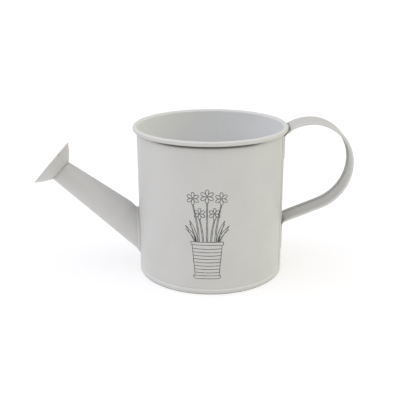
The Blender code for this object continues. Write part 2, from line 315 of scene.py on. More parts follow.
def wall_profile():
    """(radius, height, side) round the sheet's section; side is 1 where the lap shows."""
    blend = CURL[1] - CURL_BLEND
    hem = WALL_RADIUS + HEM_PROUD
    leg = hem - HEM_WIDTH
    inner = [(WALL_INSIDE, z) for z in spread(SHEET, blend, 44)]
    outer = [(WALL_RADIUS, z) for z in spread(blend, PLAIN_FROM, 44)]
    rest = [(WALL_RADIUS - deep, z) for z, deep in HEM_PINCH]
    rest += [(hem - 0.00008, 0.0040), (hem - 0.00002, 0.0038)]
    rest += [(hem, z) for z in spread(0.0036, HEM_CORNER + 0.0003, 5)]
    rest += arc((hem - HEM_CORNER, HEM_CORNER), HEM_CORNER, 0, -90, 10)
    rest += arc((leg + HEM_INNER, HEM_INNER), HEM_INNER, -90, -180, 6)
    rest += arc((leg + SHEET / 2, HEM_FOLD - SHEET / 2), SHEET / 2, 180, 0, 6)
    rest += [(leg + SHEET, SHEET + 0.0003), (leg + SHEET + 0.0001, SHEET)]
    curl = arc(CURL, CURL_RADIUS, 180, CURL_END, 44)
    curl += arc(CURL, CURL_RADIUS - SHEET, CURL_END, 180, 32)
    profile = [(r, z, 1.0) for r, z in outer]
    profile += [(r, z, 0.0) for r, z in rest + inner + curl]
    return profile


def wall_sheet():
    """The rolled sheet from its hooked hem to its rolled rim, with the hole for the spout."""
    turns = spread(-180.0, 180.0, WALL_STEPS)[:-1]
    turns += [edge + step for edge in (LAP_FROM, LAP_TO) for step in (-LAP_EDGE, LAP_EDGE)]
    rows = []
    for r, z, lap in wall_profile():
        row = []
        for turn in sorted(turns):
            angle = radians(turn)
            nick = bump((angle - HEM_NICK) * WALL_RADIUS, NICK_WIDTH)
            nick *= bump(z - 0.0008, NICK_WIDTH)
            reach = r + sheet_wobble(angle, z) + lap * lap_rise(angle, z)
            if r > WALL_RADIUS:
                reach -= NICK_DEPTH * nick
            row.append((reach * cos(angle), reach * sin(angle), z))
        rows.append(row)
    wall = as_piece("wall_sheet", grid_mesh("wall_sheet", rows, wrap_rows=True))
    clear = -SHEET - GAP
    hole = [spout_ring(along, clear, 96) for along in spread(*WALL_HOLE_RUN, 24)]
    cut(wall, as_piece("hole_tool", solid_loft("hole_tool", hole)))
    return wall


def wall_fields(p):
    """Wear on the bead, the hem's lower edge, the lap and the nick; dust in the grooves beside
    them; painted shade under the rolled rim and on the bead's underside, most of it in front, and a
    painted dark line of shade along the foot; painted highlights of paler paint on the hem's top
    edge and the rim's top.
    """
    r = away(p)
    angle = atan2(p.y, p.x)
    turn = degrees(angle)
    wear = 0.35 * bump(p.z - HEIGHT, 0.0009) + 0.30 * bump(r - RIM_RADIUS, 0.0007)
    if r < WALL_INSIDE + SHEET / 2:
        dust_and_shade = 0.9 * bump(p.z - BASE_TOP, 0.0030) + 0.25 * (1 - ease(p.z, 0.01, 0.06))
        return min(wear, 1.0), min(dust_and_shade, 1.0)
    wear += 0.5 * bump(p.z - 0.0001, 0.0005)
    wear += bump((angle - HEM_NICK) * WALL_RADIUS, 0.0012) * bump(p.z - 0.0010, 0.0012)
    lap = 1.0 if LAP_BOTTOM < p.z < LAP_TOP else 0.0
    past_lap = radians(turn - LAP_FROM) * WALL_RADIUS
    wear += 0.4 * lap * bump(past_lap, 0.0003)
    # a little dust in the groove above the hem; along the foot a painted dark line of shade where
    # the can meets the floor
    dust_and_shade = 0.35 * bump(p.z - 0.0052, 0.0005) + 1.8 * bump(p.z - 0.0005, 0.0008)
    dust_and_shade += 0.9 * lap * bump(past_lap + 0.00022, 0.0004)
    # painted shade: the bead's underside and a painted shadow line on the wall just under the bead,
    # dark enough to reach the near-black painted-shade colour
    below = (CURL[1] - p.z) / CURL_RADIUS
    if r > WALL_RADIUS + 0.0006:
        shade = 1.9 * ease(below, 0.45, 0.95)
    else:
        shade = 2.4 * bump(p.z - (HEIGHT - 0.0046), 0.0009)
        shade += 0.5 * bump(p.z - (HEIGHT - 0.0055), 0.0018)
    # the painted shade is strongest at the front, from -112 to -66 degrees, and a quarter as strong
    # at the back
    in_front = ease(turn, -158.0, -112.0) * (1 - ease(turn, -66.0, -32.0))
    # painted highlight: paler paint on the hem's top edge and on the rim's top, where light catches
    # them
    painted_highlight = 0.9 * bump(p.z - 0.0041, 0.0006) + 0.8 * ease(p.z, HEIGHT - 0.0014, HEIGHT - 0.0004)
    return min(wear, 1.0), dust_and_shade + shade * (0.25 + 0.75 * in_front), min(painted_highlight, 1.0)


def floor_disc():
    """The bottom, with the flange that hangs in the hem, and a shallow unevenness of its own."""
    flange = WALL_INSIDE - GAP
    under = BASE_TOP - SHEET
    rim = arc((flange - 0.0005, BASE_TOP - 0.0005), 0.0005, 90, 0, 5)
    profile = [(r, BASE_TOP) for r in spread(0.0, flange - 0.0010, 26)] + rim
    profile += [(flange, BASE_FLANGE_END), (flange - SHEET, BASE_FLANGE_END)]
    profile += [(flange - SHEET, under - GAP), (flange - SHEET - GAP, under)]
    profile += [(r, under) for r in spread(flange - 0.0012, 0.0, 26)]
    rows = []
    for r, z in profile:
        if r == 0.0:
            rows.append([(0.0, 0.0, z)])
            continue
        slack = (1 - ease(r, 0.030, 0.057)) * ease(r, 0.0, 0.010)
        row = []
        for turn in circle(FLOOR_STEPS):
            x, y = r * cos(turn), r * sin(turn)
            uneven = 0.6 + noise.noise((x * 40, y * 40, 4.4))
            row.append((x, y, z - FLOOR_SAG * slack * uneven))
        rows.append(row)
    return as_piece("floor_disc", grid_mesh("floor_disc", rows))


def floor_fields(p):
    """Dust, thicker towards the wall."""
    return 0.0, 0.15 + 0.8 * ease(away(p), 0.050, 0.0615)


# ---- Spout and collar --------------------------------------------------------------------

def spout_frame(along, up=0.0, tip=0.0):
    """A matrix whose +Z runs up the spout, placed along its axis and shifted up across it."""
    spin = Matrix.Rotation(SPOUT_SLOPE + tip - pi / 2, 4, "Y")
    axis = Vector((-cos(SPOUT_SLOPE), 0.0, sin(SPOUT_SLOPE)))
    across = Vector((sin(SPOUT_SLOPE), 0.0, cos(SPOUT_SLOPE)))
    root = Vector((-WALL_RADIUS, 0.0, SPOUT_HEIGHT))
    return Matrix.Translation(root + axis * along + across * up) @ spin


def spout_point(along, angle, offset, tip=0.0):
    """A point on the tube. Angle 0 is the side that faces the can, on top."""
    dip = SPOUT_DIP * (1 - ease(along, SPOUT_DIP_TO, SPOUT_DIP_FROM)) / 2
    radius = SPOUT_ROOT_RADIUS - SPOUT_TAPER * along - dip + offset
    place = spout_frame(along, up=-dip, tip=tip)
    return place @ Vector((radius * cos(angle), radius * sin(angle), 0.0))


def spout_ring(along, offset, steps):
    return [spout_point(along, angle, offset) for angle in circle(steps)]


def solid_loft(name, rings):
    """A closed solid through rings, with a fan at each end."""
    first, last = [[sum((Vector(p) for p in ring), Vector()) / len(ring)]
                   for ring in (rings[0], rings[-1])]
    return grid_mesh(name, [first] + rings + [last])


def along_at_wall(angle, offset, reach):
    """How far up the spout the tube's line at this angle is reach away from the can's axis."""
    low, high = SPOUT_SEARCH
    for _ in range(40):
        middle = (low + high) / 2
        if away(spout_point(middle, angle, offset)) < reach:
            low = middle
        else:
            high = middle
    return (low + high) / 2


def seam_rise(angle):
    """The tube's own lap seam, along its underside."""
    side = (angle - pi) * SPOUT_ROOT_RADIUS
    return SEAM_RISE * ease(side, -0.0021, -0.0019) * (1 - ease(side, 0.0007, 0.0019))


def spout_shell():
    """The rolled cone from the can's wall to the joggled end inside the rose."""
    angles = sorted(circle(SPOUT_STEPS) + [pi - line for line in SEAM_LINES])
    neck = SPOUT_LENGTH
    shoulder = neck - GAP
    shares = [0.0, 0.01, 0.03] + spread(0.06, 0.98, 46) + [1.0]
    narrow = -SPOUT_JOGGLE

    def line(share, offset, end):
        row = []
        for angle in angles:
            start = along_at_wall(angle, offset, SPOUT_FOOT)
            rise = seam_rise(angle) if offset == 0.0 else 0.0
            along = start + (end - start) * share
            uneven = SPOUT_UNEVEN * noise.noise((cos(angle) * 1.5, sin(angle) * 1.5, along * 40))
            rise *= 1 - ease(along, neck - 0.003, neck - 0.001)
            tip = ROSE_NECK_UP * ease(along, neck - SPOUT_TIPPED, neck)
            row.append(spout_point(along, angle, offset + rise + uneven, tip))
        return row

    outer = [line(share, 0.0, shoulder) for share in shares]
    joggle = (
        (shoulder + 0.0001, -0.00012), (neck - 0.00005, -0.0004), (neck + 0.0001, narrow),
        (neck + SPOUT_STUB - 0.0001, narrow), (neck + SPOUT_STUB, narrow - 0.0001),
        (neck + SPOUT_STUB, narrow - SHEET + 0.0001), (neck + SPOUT_STUB - 0.0001, narrow - SHEET),
        (shoulder - SHEET, narrow - SHEET))
    end = [[spout_point(along, angle, offset, ROSE_NECK_UP) for angle in angles]
           for along, offset in joggle]
    inner = [line(share, -SHEET, neck - 3 * SHEET) for share in shares[::-1]]
    return as_piece("spout_shell", grid_mesh("spout_shell", outer + end + inner, wrap_rows=True))


def spout_fields(p):
    """Dust gathers at the root and at the neck, and the underside's seam is a little worn."""
    q = spout_frame(0.0).inverted() @ p
    dust_and_shade = 0.75 * bump(away(p) - SPOUT_FOOT, 0.0030) + 0.8 * bump(q.z - SPOUT_LENGTH, 0.0016)
    seam = bump(q.y + 0.0018, 0.0003) if q.x < 0 else 0.0
    return 0.35 * seam, min(dust_and_shade, 1.0)


def spout_saddle():
    """The narrow ring that joins the tube's root to the wall, with a soft soldered shoulder."""
    bore = COLLAR_BORE
    width = COLLAR_WIDTH - bore
    section = [(bore + width * share, -COLLAR_SINK) for share in (0.0, 0.5, 1.0)]
    for turn in spread(0.0, pi / 2, 14):
        section.append((bore + width * cos(turn) ** COLLAR_ROUND,
                        COLLAR_HEIGHT * sin(turn) ** COLLAR_ROUND))
    section += [(bore, COLLAR_HEIGHT * share) for share in (0.75, 0.5, 0.25)]
    rows = []
    for offset, height in section:
        row = []
        for angle in circle(COLLAR_STEPS):
            uneven = 1 + noise.noise((cos(angle) * 4, sin(angle) * 4, 1.2))
            lift = 1 - COLLAR_UNEVEN * uneven if height > 0 else 1.0
            reach = SPOUT_FOOT + height * lift
            row.append(spout_point(along_at_wall(angle, offset, reach), angle, offset))
        rows.append(row)
    return as_piece("spout_saddle", grid_mesh("spout_saddle", rows, wrap_rows=True))


def saddle_fields(p):
    """Wear on the shoulder and a little dust at the foot."""
    out = away(p) - SPOUT_FOOT
    return 0.35 * bump(out - COLLAR_HEIGHT, 0.0004), 0.5 * bump(out, 0.0003)


# ---- Rose --------------------------------------------------------------------------------

def rose_funnel():
    """The flared funnel. Its neck and its mouth are each tipped up a little."""
    rows = []
    for shares, inset in ((spread(0.0, 1.0, 26), 0.0), (spread(1.0, 0.0, 26), ROSE_INSET)):
        for share in shares:
            tip = ROSE_NECK_UP + (ROSE_TIP_UP - ROSE_NECK_UP) * share
            place = spout_frame(SPOUT_LENGTH + ROSE_LENGTH * share, ROSE_SHIFT * share, tip)
            radius = ROSE_NECK_RADIUS + (ROSE_EDGE - ROSE_NECK_RADIUS) * share
            radius += ROSE_BULGE * sin(pi * share) - inset
            rows.append([place @ Vector((radius * cos(a), radius * sin(a), 0.0))
                         for a in circle(SPOUT_STEPS)])
    return as_piece("rose_funnel", grid_mesh("rose_funnel", rows, wrap_rows=True))


def rose_face():
    """The domed plate, its skirt round the funnel's edge, and its holes."""
    skirt = ROSE_RADIUS - ROSE_SHEET
    lift = GAP
    top = lift + ROSE_SHEET
    corner = 0.3 * ROSE_SHEET
    shares = spread(0.0, 0.96, 18)
    dome = [(skirt * share, PLATE_DOME * (1 - share * share)) for share in shares]
    profile = [(r, top + z) for r, z in dome]
    profile += arc((ROSE_RADIUS - corner, top - corner), corner, 90, 0, 6)
    profile += [(ROSE_RADIUS, -PLATE_SKIRT + 0.0001), (ROSE_RADIUS - 0.0001, -PLATE_SKIRT)]
    profile += [(skirt + 0.0001, -PLATE_SKIRT), (skirt, -PLATE_SKIRT + 0.0001), (skirt, lift)]
    profile += [(r, lift + z) for r, z in dome[::-1]]
    rows = [[(0.0, 0.0, z)] if r == 0.0 else
            [(r * cos(a), r * sin(a), z) for a in circle(PLATE_STEPS)]
            for r, z in profile]
    plate = as_piece("rose_face", grid_mesh("rose_face", rows))
    bm = bmesh.new()
    for count, distance in PLATE_HOLE_RINGS:
        for i in range(count):
            turn = 2 * pi * i / count + PLATE_HOLE_TURN
            height = top + PLATE_DOME * (1 - (distance / skirt) ** 2)
            place = Vector((distance * cos(turn), distance * sin(turn), height))
            skin(bm, [[place + Vector((r * PLATE_HOLE_RADIUS * cos(a),
                                       r * PLATE_HOLE_RADIUS * sin(a), z))
                       for a in (circle(HOLE_STEPS, 0.05) if r else [0.0])]
                      for r, z in DRILL])
    cut(plate, as_piece("drill_tools", as_mesh("drill_tools", bm)))
    plate.data.transform(spout_frame(SPOUT_LENGTH + ROSE_LENGTH, ROSE_SHIFT, ROSE_TIP_UP))
    return plate


def rose_fields(p):
    """Wear round the rose's edge, and dust at its neck and where the skirt starts."""
    q = spout_frame(SPOUT_LENGTH + ROSE_LENGTH, ROSE_SHIFT, ROSE_TIP_UP).inverted() @ p
    wear = 0.6 * bump(away(q) - ROSE_RADIUS, 0.0006)
    dust_and_shade = 0.8 * bump(q.z + ROSE_LENGTH, 0.0012) + 0.5 * bump(away(q) - ROSE_EDGE, 0.0004)
    return min(wear, 1.0), min(dust_and_shade, 1.0)


# ---- Handle ------------------------------------------------------------------------------

def strap_stations():
    """Places along the strap's outer face: (x, z, heading, distance from the start)."""
    x, z = WALL_RADIUS + GAP + SHEET, TAB_FOOT
    heading, travelled = pi / 2, 0.0
    stations = [(x, z, heading, travelled)]
    for kind, *size in STRAP_RUN:
        if kind == "line":
            on_tab = travelled < 0.001 or travelled > TABS[1] - 0.001
            steps = max(3, round(size[0] / (0.0006 if on_tab else 0.0015)))
            for _ in range(steps):
                x += cos(heading) * size[0] / steps
                z += sin(heading) * size[0] / steps
                travelled += size[0] / steps
                stations.append((x, z, heading, travelled))
            continue
        radius, turn = size[0], radians(size[1])
        side = 1 if turn > 0 else -1
        middle = (x - side * radius * sin(heading), z + side * radius * cos(heading))
        steps = max(8, round(abs(size[1]) / 1.8))
        for _ in range(steps):
            heading += turn / steps
            x = middle[0] + side * radius * sin(heading)
            z = middle[1] - side * radius * cos(heading)
            travelled += radius * abs(turn) / steps
            stations.append((x, z, heading, travelled))
    return stations


def strap_section(half_width, edge):
    """Half of the strap's section as (across, inwards): outer face, rolled edge, inner face."""
    bead = edge / 2
    middle = half_width - bead
    points = [(middle * share, 0.0) for share in spread(0.0, 1.0, 20)[1:]]
    points += [(middle + bead * sin(a), bead - bead * cos(a)) for a in spread(0.0, pi, 12)[1:]]
    tuck = edge - SHEET
    last = middle - 1.16 * bead
    points += [(middle - 0.55 * bead, edge - 0.05 * tuck),
               (middle - 0.95 * bead, edge - 0.25 * tuck),
               (middle - 1.12 * bead, SHEET + 0.30 * tuck), (last, SHEET)]
    points += [(last * share, SHEET) for share in spread(1.0, 0.0, 17)[1:-1]]
    return points


def weld_dent(along, across):
    """Two shallow spot-weld marks on each tab."""
    deep = 0.0
    for place in WELD_PLACES:
        for side in (-WELD_ASIDE, WELD_ASIDE):
            far = sqrt((along - place) ** 2 + (across - side) ** 2)
            deep += WELD_DEPTH * (1 - ease(far, 0.0009, 0.0017))
    return deep


def handle_band():
    """The strap: bowed to the can's curve at both tabs, flat and roll-edged between them."""
    stations = strap_stations()
    first, last = stations[0], stations[-1]
    near_end = (0.0, 0.00012, 0.0003)
    foot = [(first[0], first[1] + d, first[2], d) for d in near_end]
    head = [(last[0], last[1] + d, last[2], STRAP_TOTAL - d) for d in near_end]
    wall = WALL_RADIUS + GAP
    rows = []
    for x, z, heading, along in foot + stations[1:-1] + head[::-1]:
        to_end = min(along, STRAP_TOTAL - along)
        half_width = STRAP_WIDTH / 2
        if to_end < STRAP_CORNER:
            rest = STRAP_CORNER - to_end
            half_width += sqrt(STRAP_CORNER ** 2 - rest ** 2) - STRAP_CORNER
        free = min(along - TABS[0], TABS[1] - along)
        camber = 1 - ease(free, 0.0, CAMBER_FADE)
        edge = SHEET + (STRAP_EDGE - SHEET) * ease(free, 0.0, EDGE_FADE)
        setback = STRAP_SETBACK * ease(free, 0.0, EDGE_FADE)
        tab = 1 - ease(free, 0.0, EDGE_FADE)
        lower = along < STRAP_TOTAL / 2
        pressed = TAB_PRESS[0 if lower else 1] * tab
        inwards = (-sin(heading), cos(heading))
        half = strap_section(half_width, edge)
        section = [(0.0, 0.0)] + half + [(0.0, SHEET)] + [(-a, n) for a, n in half[::-1]]
        row = []
        for across, depth in section:
            bow = camber * (wall - sqrt(wall * wall - across * across))
            uneven = STRAP_UNEVEN * ease(free, 0.0, 0.02)
            uneven *= noise.noise((along * 55, across * 30, 6.6))
            feather = max(0.0, abs(across) - half_width + TAB_FEATHER) / TAB_FEATHER
            thin = TAB_THIN * SHEET * tab * feather * feather
            off_wall = 1 - min(1.0, depth / edge)    # 1 on the face that looks away from the wall
            pushed = thin + weld_dent(along, across)
            sink = depth + setback + uneven
            sink += pushed * off_wall if lower else -pushed * (1 - off_wall)
            row.append(Vector((x + inwards[0] * sink - bow - pressed, across,
                               z + inwards[1] * sink)))
        rows.append(row)
    return as_piece("handle_band", solid_loft("handle_band", rows), STRAP_SHARP)


def strap_fields(p):
    """Wear and a painted highlight of paler paint along the rolled edges, dust where the strap
    meets the can, and painted shade where it passes the rim.
    """
    gap = p.x - WALL_RADIUS
    wear = 0.42 * bump(abs(p.y) - STRAP_WIDTH / 2, 0.0006)
    dust_and_shade = 0.2 * bump(gap - 0.0012, 0.0016) + 0.25 * bump(abs(p.y) - 0.0100, 0.0005)
    # painted shade: darkens the strap where it passes close to the rim, for the dark gap between
    # them
    by_rim = bump(p.x - RIM_RADIUS - 0.0002, 0.0012)
    dust_and_shade += 1.5 * by_rim * ease(p.z, HEIGHT - 0.012, HEIGHT - 0.006)
    # the last value is a painted highlight: paler paint along the rolled edges, where light catches
    # them
    return min(wear, 1.0), dust_and_shade, 0.45 * bump(abs(p.y) - STRAP_WIDTH / 2, 0.0008)


# ---- Printed motif -----------------------------------------------------------------------

MOTIF_MIDDLE = -0.0027        # along the wall from its front line, positive towards the handle
INK_WIDTH = 0.00050
INK_DEPTH = 0.00005
INK_STEP = 0.0009             # a line is drawn in pieces of about this length
INK_PRESSURE = 0.35           # by how much of itself its width may vary
POT_TOP = 0.0465
POT_FOOT = 0.0172
MM = 0.001
FLOWERS = (                   # across in mm, height, size in mm, and its stalk's foot in mm
    (0.0, 0.0850, 5.6, 0.0), (-11.4, 0.0830, 5.2, -6.6), (11.4, 0.0830, 5.2, 6.6),
    (-6.0, 0.0705, 4.8, -3.2), (6.0, 0.0705, 4.8, 3.2),
)
LEAVES = ((9.8, 17.8, 0.0600), (8.6, 14.2, 0.0645))    # foot and tip across in mm, tip's height


def petal(centre, turn, length, width):
    """A closed pointed oval that leaves the centre in the direction of turn."""
    outline = []
    for share in spread(0.0, 2 * pi, 20):
        out = length * (0.56 - 0.44 * cos(share))
        side = width * sin(share) * (0.75 + 0.25 * (1 - cos(share)) / 2)
        outline.append((centre[0] + out * cos(turn) - side * sin(turn),
                        centre[1] + out * sin(turn) + side * cos(turn)))
    return outline


def blossom(centre, size, petals, turn):
    """Petals round a small eye."""
    ring = [petal(centre, turn + 2 * pi * i / petals, size, size * 0.27) for i in range(petals)]
    eye = [(centre[0] + size * 0.13 * cos(a), centre[1] + size * 0.13 * sin(a))
           for a in spread(0.0, 2 * pi, 10)]
    return ring + [eye]


def stroke(start, end, lean, steps=16):
    """A line from start to end that sets off upright and leans over by lean."""
    points = []
    for t in spread(0.0, 1.0, steps):
        pull = lean * 4 * t * (1 - t)
        points.append((start[0] + (end[0] - start[0]) * t ** 1.6 + pull,
                       start[1] + (end[1] - start[1]) * t))
    return points


def blade(foot, tip, width):
    """A long narrow leaf with its middle line."""
    left = stroke((foot[0] - width, foot[1]), tip, -width)
    right = stroke((foot[0] + width, foot[1]), tip, width)
    return [left, right, stroke(foot, (tip[0] * 0.97 + foot[0] * 0.03, tip[1] - 0.003), 0.0)]


def motif_lines():
    """A plain striped flowerpot with a few simple flowers, the same on both sides of its middle."""
    lines = []
    half_top, half_foot = 12.2 * MM, 9.8 * MM
    brim = 13.4 * MM
    brim_foot = POT_TOP - 2.6 * MM
    lines.append([(-brim, POT_TOP), (brim, POT_TOP), (brim - 0.3 * MM, brim_foot),
                  (-brim + 0.3 * MM, brim_foot), (-brim, POT_TOP)])
    for side in (-1, 1):
        lines.append([(side * half_top, brim_foot), (side * half_foot, POT_FOOT)])
    for z in spread(brim_foot - 3.1 * MM, POT_FOOT + 2.9 * MM, 7):
        share = (z - POT_FOOT) / (brim_foot - POT_FOOT)
        half = half_foot + (half_top - half_foot) * share
        lines.append([(half * t, z - 0.35 * MM * (1 - t * t)) for t in spread(-1.0, 1.0, 10)])
    lines.append([(-half_foot - 1.5 * MM, POT_FOOT), (half_foot + 1.5 * MM, POT_FOOT),
                  (half_foot + 0.9 * MM, POT_FOOT - 1.9 * MM),
                  (half_foot - 0.6 * MM, POT_FOOT - 2.7 * MM),
                  (-half_foot + 0.6 * MM, POT_FOOT - 2.7 * MM),
                  (-half_foot - 0.9 * MM, POT_FOOT - 1.9 * MM), (-half_foot - 1.5 * MM, POT_FOOT)])
    for across, height, size, foot in FLOWERS:
        middle = across * MM
        lines += blossom((middle, height), size * MM, 6, pi / 2)
        stalk_top = height - size * MM * 0.98
        for side in (-0.5, 0.5):
            lines.append(stroke(((foot + side) * MM, POT_TOP),
                                (middle + side * 0.7 * MM, stalk_top), 0.0))
    for side in (-1, 1):
        for foot, tip, height in LEAVES:
            lines += blade((side * foot * MM, POT_TOP), (side * tip * MM, height), 0.7 * MM)
    return lines


def resampled(line, step):
    """The same line in even steps."""
    points = [line[0]]
    for start, end in zip(line, line[1:]):
        far = sqrt((end[0] - start[0]) ** 2 + (end[1] - start[1]) ** 2)
        count = max(1, round(far / step))
        points += [(start[0] + (end[0] - start[0]) * i / count,
                    start[1] + (end[1] - start[1]) * i / count) for i in range(1, count + 1)]
    return points


def on_wall(across, height, lift):
    """A place on the front of the wall, lifted off it by lift."""
    angle = -pi / 2 + (across + MOTIF_MIDDLE) / WALL_RADIUS
    reach = WALL_RADIUS + sheet_wobble(angle, height) + lift
    return Vector((reach * cos(angle), reach * sin(angle), height))


def printed_motif():
    """The motif's lines as thin ribbons of ink that follow the wall."""
    bm = bmesh.new()
    for number, line in enumerate(motif_lines()):
        points = resampled(line, INK_STEP)
        top = INK_DEPTH + 0.000002 * (number % 9)    # so that no two lines' tops lie level
        rows = []
        for i, point in enumerate(points):
            before, after = points[max(i - 1, 0)], points[min(i + 1, len(points) - 1)]
            run = (after[0] - before[0], after[1] - before[1])
            size = sqrt(run[0] ** 2 + run[1] ** 2) or 1.0
            shift = noise.noise((point[0] * 300, point[1] * 300, number * 0.7))
            half = INK_WIDTH / 2 * (1 + INK_PRESSURE * shift)
            side = (-run[1] / size * half, run[0] / size * half)
            places = [(point[0] + sign * side[0], point[1] + sign * side[1], lift)
                      for sign, lift in ((-1, -0.00002), (1, -0.00002), (0.8, top), (-0.8, top))]
            rows.append([on_wall(*place) for place in places])
        made = skin(bm, rows)
        bm.faces.new(made[0])
        bm.faces.new(made[-1][::-1])
    return as_piece("printed_motif", as_mesh("printed_motif", bm))


def clean_fields(p):
    """No wear and no dust."""
    return 0.0, 0.0


# ---- Materials ---------------------------------------------------------------------------

PAINT_LIGHT = (0.622, 0.620, 0.600, 1.0)
PAINT_DARK = (0.602, 0.600, 0.578, 1.0)
# painted highlight: paler paint where light catches the hem's top edge, the rim's top and the
# strap's edges
HIGHLIGHT_PAINT = (0.760, 0.758, 0.735, 1.0)
# lighter coat inside the can, partly painted light that stands in for the light falling inside it
INSIDE_PAINT_AND_LIGHT = (0.830, 0.842, 0.840, 1.0)
DUST = (0.300, 0.285, 0.255, 1.0)
# painted shade: near-black, for the shadow under the rim, along the foot and beside the rim at the
# strap
PAINTED_SHADE = (0.110, 0.105, 0.094, 1.0)
BARE = (0.200, 0.200, 0.198, 1.0)
INK_LIGHT = (0.090, 0.090, 0.092, 1.0)
INK_DARK = (0.035, 0.035, 0.037, 1.0)
WIRE_LIGHT = (0.56, 0.56, 0.57, 1.0)
WIRE_DARK = (0.36, 0.36, 0.37, 1.0)
FLOOR_LIGHT = (0.56, 0.56, 0.56, 1.0)
FLOOR_DARK = (0.54, 0.54, 0.54, 1.0)
BACKDROP_GREY = (0.02, 0.02, 0.02, 1.0)
GLOW = (1.0, 1.0, 1.0, 1.0)
FLOOR_GLOW = 0.51             # the floor is lit from below, as on a light table
BACKDROP_GLOW = 1.0


class Finish:
    """A material and short ways to add nodes to it. Each returns the socket it ends in."""

    def __init__(self, name):
        self.material = bpy.data.materials.new(name)
        self.material.use_nodes = True
        self.tree = self.material.node_tree
        self.shader = self.tree.nodes["Principled BSDF"]
        self.coords = self.tree.nodes.new("ShaderNodeTexCoord").outputs["Object"]

    def put(self, socket, value):
        if isinstance(value, bpy.types.NodeSocket):
            self.tree.links.new(value, socket)
        else:
            socket.default_value = value

    def noise(self, scale, detail=2.0, roughness=0.5, stretch=None):
        node = self.tree.nodes.new("ShaderNodeTexNoise")
        node.inputs["Scale"].default_value = scale
        node.inputs["Detail"].default_value = detail
        node.inputs["Roughness"].default_value = roughness
        coords = self.coords
        if stretch:
            mapping = self.tree.nodes.new("ShaderNodeMapping")
            mapping.inputs["Scale"].default_value = stretch
            self.put(mapping.inputs["Vector"], coords)
            coords = mapping.outputs["Vector"]
        self.put(node.inputs["Vector"], coords)
        return node.outputs["Fac"]

    def ramp(self, value, low, high, to_low=0.0, to_high=1.0):
        node = self.tree.nodes.new("ShaderNodeMapRange")
        node.interpolation_type = "SMOOTHSTEP"
        for name, item in (("Value", value), ("From Min", low), ("From Max", high),
                           ("To Min", to_low), ("To Max", to_high)):
            self.put(node.inputs[name], item)
        return node.outputs["Result"]

    def math(self, operation, first, second):
        node = self.tree.nodes.new("ShaderNodeMath")
        node.operation = operation
        self.put(node.inputs[0], first)
        self.put(node.inputs[1], second)
        return node.outputs["Value"]

    def blend(self, share, first, second):
        node = self.tree.nodes.new("ShaderNodeMix")
        node.data_type = "RGBA"
        self.put(node.inputs["Factor"], share)
        self.put(node.inputs["A"], first)
        self.put(node.inputs["B"], second)
        return node.outputs["Result"]

    def field(self, name):
        node = self.tree.nodes.new("ShaderNodeAttribute")
        node.attribute_name = name
        return node.outputs["Fac"]

    def bump(self, height, strength, distance, under=None):
        node = self.tree.nodes.new("ShaderNodeBump")
        node.inputs["Strength"].default_value = strength
        node.inputs["Distance"].default_value = distance
        self.put(node.inputs["Height"], height)
        if under:
            self.put(node.inputs["Normal"], under)
        return node.outputs["Normal"]

    def finish(self, **sockets):
        for name, value in sockets.items():
            self.put(self.shader.inputs[name.replace("_", " ")], value)
        return self.material


def enamel(name, wear_share=1.0, dust_share=1.0):
    """Satin off-white enamel: faintly clouded and orange-peeled, chipped at worn edges, dusty in
    corners, darkened to a painted shade where the dust-and-shade value is highest, paler where a
    highlight is painted, and of a lighter coat inside the can that also stands in for light there.
    """
    f = Finish(name)
    # the coat of paint, lighter inside, with its painted highlights
    cloud = f.ramp(f.noise(30.0, 3.0, 0.55), 0.36, 0.64)
    colour = f.blend(cloud, PAINT_LIGHT, PAINT_DARK)
    # lighter coat inside the can, partly painted light for the light that falls inside it
    colour = f.blend(f.field("inside"), colour, INSIDE_PAINT_AND_LIGHT)
    # painted highlight: paler paint on the hem's top edge, the rim's top and the strap's edges
    colour = f.blend(f.field("painted_highlight"), colour, HIGHLIGHT_PAINT)
    # specks, dust and painted shade on it
    speck = f.ramp(f.noise(1500.0, 1.0), 0.63, 0.72, 0.0, 0.16)
    colour = f.blend(speck, colour, DUST)
    patchy = f.ramp(f.noise(210.0, 4.0, 0.6), 0.34, 0.66, 0.60, 1.0)
    dust_and_shade = f.math("MULTIPLY", f.math("MULTIPLY", f.field("dust_and_shade"), patchy), 0.34 * dust_share)
    colour = f.blend(dust_and_shade, colour, DUST)
    # painted shade: near-black where the dust-and-shade value passes 1, under the rim, along the
    # foot and beside the rim at the strap
    colour = f.blend(f.ramp(f.field("dust_and_shade"), 1.0, 2.1, 0.0, 0.9), colour, PAINTED_SHADE)
    # small chips where it is worn
    grain = f.noise(560.0, 5.0, 0.62)
    edge = f.math("MULTIPLY", f.field("wear"), 0.26 * wear_share)
    chip = f.ramp(f.math("ADD", grain, edge), 0.775, 0.800)
    colour = f.blend(chip, colour, BARE)
    # the surface: rougher where dusty, orange-peeled, faintly dented, stepped at chips
    rough = f.ramp(f.noise(75.0, 3.0), 0.3, 0.7, 0.43, 0.54)
    rough = f.math("ADD", rough, f.math("MULTIPLY", dust_and_shade, 0.5))
    peel = f.bump(f.noise(620.0, 1.5), 0.35, 0.00003)
    dents = f.bump(f.noise(52.0, 2.0), 0.30, 0.00022, peel)
    flaked = f.bump(f.math("SUBTRACT", 1.0, chip), 0.8, 0.00005, dents)
    return f.finish(Base_Color=colour, Roughness=rough, Normal=flaked,
                    Metallic=f.math("MULTIPLY", chip, 0.6), Specular_IOR_Level=0.42)


def ink():
    """Dull dark grey screen print, a little thin in places."""
    f = Finish("printed_ink")
    thin = f.ramp(f.noise(900.0, 3.0, 0.6), 0.40, 0.68)
    return f.finish(Base_Color=f.blend(thin, INK_DARK, INK_LIGHT),
                    Roughness=f.ramp(f.noise(400.0), 0.3, 0.7, 0.50, 0.66),
                    Normal=f.bump(f.noise(1400.0, 2.0), 0.3, 0.00001))


